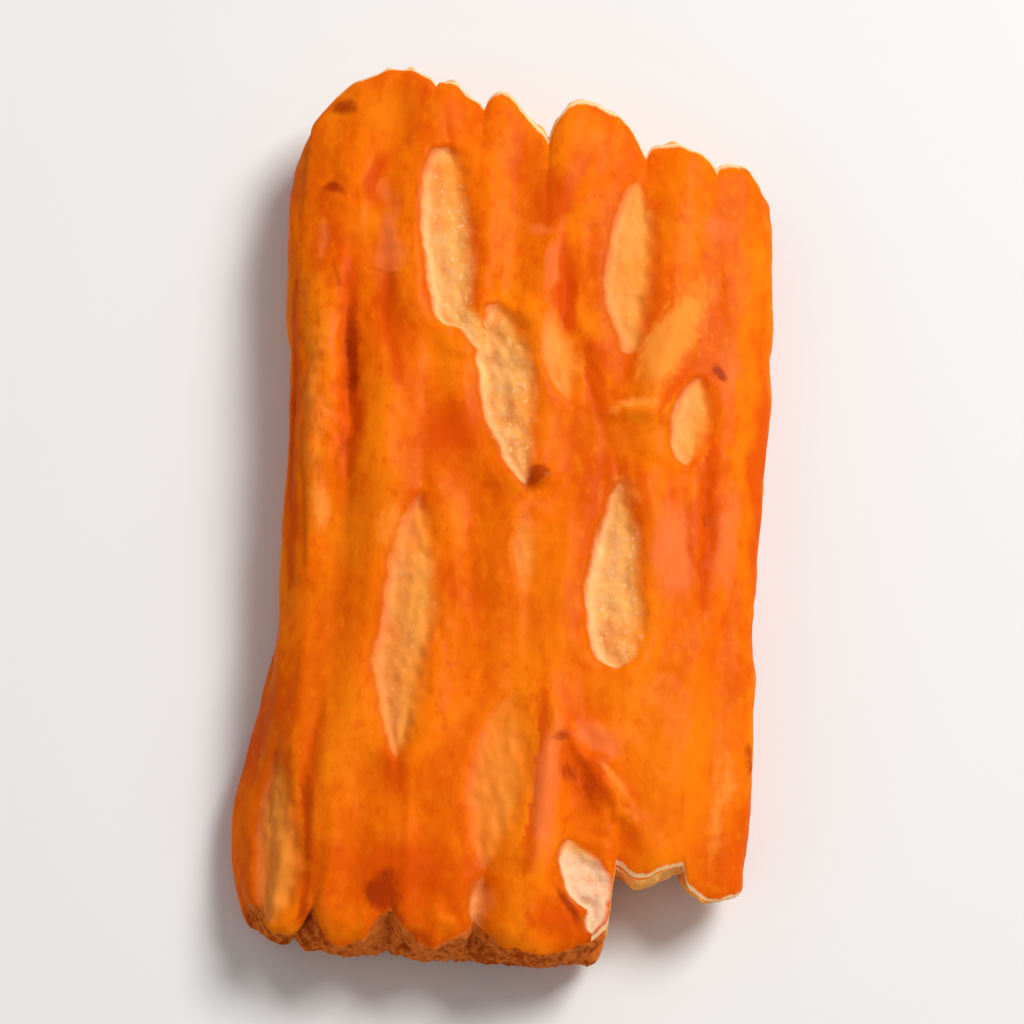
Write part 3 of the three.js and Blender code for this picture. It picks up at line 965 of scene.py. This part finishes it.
# Broad patches of two oranges, with painted light making the ridges yellower and painted shade making the
# hollows redder.
skin_colour = blend(ease(broad + 0.12 * streaks, 0.42, 0.7), ORANGE, BRIGHT_ORANGE)
skin_colour = blend(0.5 * ease(swelling + 0.15 * streaks, 0.2, 0.5), skin_colour, YELLOW_ORANGE)
skin_colour = blend(0.55 * ease(patches, 0.5, 0.66), skin_colour, YELLOW_ORANGE)
skin_colour = blend(0.6 * ease(patches + 0.1 * streaks, 0.53, 0.38), skin_colour, RED_ORANGE)
skin_colour = blend(0.6 * ease(swelling + 0.15 * streaks, 0.02, -0.3), skin_colour, RED_ORANGE)

# Small blisters, and the deep places: thick glaze in some, and painted shade in others.
skin_colour = blend(0.35 * ease(blisters, 0.54, 0.7), skin_colour, YELLOW_ORANGE)
skin_colour = blend(0.4 * ease(blisters, 0.46, 0.3), skin_colour, RED_ORANGE)
deep = stored("deep")
skin_colour = blend(0.85 * ease(deep + 1.1 * patches + 0.3 * grit, 0.95, 1.6), skin_colour, RED_ORANGE)

# Creases are splits that aren't pale, and painted shade makes them redder.
inside = stored("inside") + 0.2 * (grit - 0.5)
pale = stored("pale")
crease = ease(inside, -0.45, 0.1) * ease(pale, 0.12, 0.0)
skin_colour = blend(0.75 * crease, skin_colour, RED_ORANGE)

# The marks, frayed by the finer patterns.
skin_colour = blend(0.8 * stored("golden") * ease(streaks, 0.1, 0.5), skin_colour, YELLOW_ORANGE)
light = stored("light") + 0.5 * grit + 0.3 * streaks
skin_colour = blend(0.9 * ease(light, 0.6, 1.15), skin_colour, LIGHT_PEACH)
# Painted sheen: salmon-pink patches on the strands where the glaze catches the lamp.
pink_sheen = stored("pink_sheen") + 0.3 * grit + 0.4 * streaks
skin_colour = blend(0.9 * ease(pink_sheen, 0.6, 1.1), skin_colour, SHEEN_PINK)
# Toasted spots, and painted shade in the creases of the left side.
burnt_and_crease_shade = stored("toasted_and_crease_shade") + 0.5 * grit + 0.3 * broad
skin_colour = blend(0.85 * ease(burnt_and_crease_shade, 0.7, 1.25), skin_colour, RED_BROWN)
print(f"with the skin: {len(Wire.tree.nodes)} nodes")

# %% [markdown]
# ## The crumb and the torn edges
# The crumb in the splits is paler and matt, full of small holes and specks, some of them painted glints.
# Painted shade darkens it towards the right side of each split, and a split's paleness says how far it
# has opened. Just outside the torn skin on the left lies a thin brown line of painted shadow, and
# inside it a cream line that is partly bare dough and partly painted light on the wall that faces the
# lamp. The edge of a split is decided in the shader from the distance that the points carry, so it is
# sharper than the mesh.

# %% The colours of the crumb
PEACH = colour(250, 136, 36)
LIP_SHADOW_BROWN = colour(206, 92, 8)
CREAM = colour(252, 180, 102)
TAN = colour(236, 148, 56)
LIGHT_CREAM = colour(255, 212, 156)
PINK_CREAM = colour(252, 206, 174)
CRUST = colour(218, 114, 42)
DARK_CRUST = colour(172, 72, 14)

side = stored("side")

crumb = blend(pale, PEACH, CREAM)
# Painted shade: the crumb turns tan towards the right side of each split.
crumb = blend(0.9 * ease(side + 0.7 * speckle, 0.0, 0.9) * ease(pale, 1.2, 0.9), crumb, TAN)
crumb = blend(0.35 * pale * ease(speckle, 0.56, 0.72), crumb, TAN)
crumb = blend(0.5 * ease(streaks, 0.48, 0.66), crumb, PEACH)
threads = ease(streaks + 0.4 * speckle, 0.74, 0.58)
crumb = blend(0.5 * ease(pale, 0.75, 0.35) * threads, crumb, TAN)
# Painted glints: small light cream specks in the paler crumb.
crumb = blend(0.6 * pale * ease(speckle, 0.38, 0.26), crumb, LIGHT_CREAM)
# The broken corner's crumb turns pink-cream, and its specks are partly painted highlight.
crumb = blend(0.8 * ease(pale + 1.2 * speckle, 1.6, 2.1), crumb, PINK_CREAM)
print(f"with the crumb: {len(Wire.tree.nodes)} nodes")

# %% The torn edges and the cut ends
# How softly a split's crumb begins: more so on its right side, and in the less pale ones.
softness = (0.4 + 0.6 * ease(side, -0.4, 0.8)) * (1.8 - pale)
open_crumb = ease(inside, 0.0, softness) * ease(pale, 0.0, 0.3)
# The cream line inside the left edge of a split: partly bare dough, and partly painted light on the wall
# that faces the lamp.
torn_and_lit_edge = ease(inside, -0.1, 0.15) * ease(inside, 0.7, 0.2) * pale
torn_and_lit_edge = torn_and_lit_edge * ease(side + 0.8 * broad, 0.9, -0.1)
# Painted shadow of the lip: a thin brown line just outside the left edge of each split.
lip_shadow_line = ease(inside, -0.3, -0.08) * ease(inside, 0.12, -0.02) * ease(side, 0.4, -0.4)
edge_line = stored("from_cut") + 0.3 * (grit - 0.5) + 0.6 * (broad - 0.5)

# The crust of the near end, partly baked brown and partly painted shade of that face, and the fresh crumb
# of the far end and the broken corner.
crust = blend(ease(speckle + 0.6 * patches, 0.7, 0.95), CRUST, DARK_CRUST)
fresh = blend(0.6 * ease(speckle + broad, 0.8, 1.2), CREAM, TAN)
cut_colour = blend(ease(deep, 0.1, 0.4), fresh, crust)

# All of it together: the skin, the crumb, the lines at the edges, and the cut ends.
skin_colour = blend(0.6 * lip_shadow_line * ease(pale, 0.2, 0.5), skin_colour, LIP_SHADOW_BROWN)
surface = blend(open_crumb, skin_colour, crumb)
surface = blend(0.3 * torn_and_lit_edge, surface, LIGHT_CREAM)
surface = blend(0.85 * ease(edge_line, 0.34, 0.14), surface, LIGHT_CREAM)
surface = blend(ease(stored("cut"), 0.4, 0.6), surface, cut_colour)
print(f"with the edges: {len(Wire.tree.nodes)} nodes")

# %% [markdown]
# ## The gloss and the fine relief
# The glaze is thin and has dried to a soft sheen, so only a little clear coat lies on the skin, and
# none on the crumb. Light goes some way into puffed dough and comes out redder, which the subsurface
# values give. The finest texture is a bump, because a mesh that fine would be far too heavy.

# %% The gloss and the fine relief
cells = Wire.node("ShaderNodeTexVoronoi", {"feature": "F1"}, {"Vector": object_place, "Scale": 2.6 / MM})
coarse = open_crumb * ease(pale, 0.1, 0.9)
bare = Wire.node("ShaderNodeMath", {"operation": "MAXIMUM"}, {0: coarse, 1: stored("cut")})
roughness = 0.55 + 0.2 * bare + 0.25 * (streaks - 0.5)
glaze = 0.025 * (1 - bare)
fine_relief = 0.15 * streaks + 0.35 * grit + 0.25 * blisters + bare * (0.35 * speckle + 0.45 * cells)
bump = Wire.node("ShaderNodeBump", None, {"Strength": 0.6, "Distance": 0.12 * MM, "Height": fine_relief})

shader_values = {
    "Base Color": surface,
    "Roughness": roughness,
    "Coat Weight": glaze,
    "Normal": bump,
    "Coat Roughness": 0.25,
    "IOR": 1.45,
    "Specular IOR Level": 0.02,
    "Subsurface Weight": 0.3,
    "Subsurface Radius": (1.0, 0.35, 0.08),
    "Subsurface Scale": 1.0 * MM,
}
shader = Wire.node("ShaderNodeBsdfPrincipled", None, shader_values)
output = Wire.tree.nodes.new("ShaderNodeOutputMaterial")
Wire.tree.links.new(shader.socket, output.inputs["Surface"])
mesh.materials.append(finish)
print(f"finish: {len(Wire.tree.nodes)} nodes")

# %% [markdown]
# ## The table, the light and the camera
# The cracker lies on a plain pale table under one large soft lamp from the right and behind, with a
# weak one opposite. The camera looks steeply down, a little from the left and with a long lens, turned
# so that the cracker leans slightly to the right. Places and sizes here are in metres.

# %% The table
MIDDLE = Vector((0, 0, 0.5 * THICKNESS * MM))
TABLE_SIZE = 3
TABLE_WHITE = (0.8, 0.79, 0.78, 1)

bpy.ops.mesh.primitive_plane_add(size=TABLE_SIZE)
table = bpy.context.object
table.name = "pale_table"
table_finish = bpy.data.materials.new("pale_table")
table_finish.use_nodes = True
table_shader = table_finish.node_tree.nodes["Principled BSDF"]
table_shader.inputs["Base Color"].default_value = TABLE_WHITE
table_shader.inputs["Roughness"].default_value = 0.6
table.data.materials.append(table_finish)
print(f"table: {TABLE_SIZE} m each way")

# %% The light
ROOM_WHITE = (1.0, 0.99, 0.98, 1)
ROOM_LIGHT = 0.33


def soft_lamp(name, place, size, power):
    """A square lamp that faces the cracker."""
    lamp = bpy.data.lights.new(name, "AREA")
    lamp.shape = "SQUARE"
    lamp.size = size
    lamp.energy = power
    holder = bpy.data.objects.new(name, lamp)
    holder.location = place
    holder.rotation_euler = (Vector(place) - MIDDLE).to_track_quat("Z", "Y").to_euler()
    bpy.context.collection.objects.link(holder)


soft_lamp("key_lamp", place=(0.22, 0.2, 0.36), size=0.2, power=2.05)
soft_lamp("fill_lamp", place=(-0.3, -0.25, 0.3), size=0.35, power=0.2)
world = bpy.data.worlds.new("pale_room")
world.use_nodes = True
world.node_tree.nodes["Background"].inputs["Color"].default_value = ROOM_WHITE
world.node_tree.nodes["Background"].inputs["Strength"].default_value = ROOM_LIGHT
bpy.context.scene.world = world
bpy.context.scene.view_settings.view_transform = "Standard"
print(f"light: two lamps, and a pale room at {ROOM_LIGHT}")

# %% The camera
ELEVATION = math.radians(72)
AZIMUTH = math.radians(-8)
ROLL = math.radians(11.5)
DISTANCE = 4.8 * LENGTH * MM
LENS = 156

camera_data = bpy.data.cameras.new("camera")
camera_data.lens = LENS
camera = bpy.data.objects.new("camera", camera_data)
rightward = math.sin(AZIMUTH) * math.cos(ELEVATION)
forward = -math.cos(AZIMUTH) * math.cos(ELEVATION)
back = Vector((rightward, forward, math.sin(ELEVATION)))
camera.location = MIDDLE + DISTANCE * back
camera.rotation_mode = "QUATERNION"
camera.rotation_quaternion = back.to_track_quat("Z", "Y") @ Quaternion((0, 0, 1), ROLL)
camera_data.clip_start = 0.001
bpy.context.collection.objects.link(camera)
bpy.context.scene.camera = camera
print(f"camera: {DISTANCE / MM:.0f} mm away, with a {LENS} mm lens")
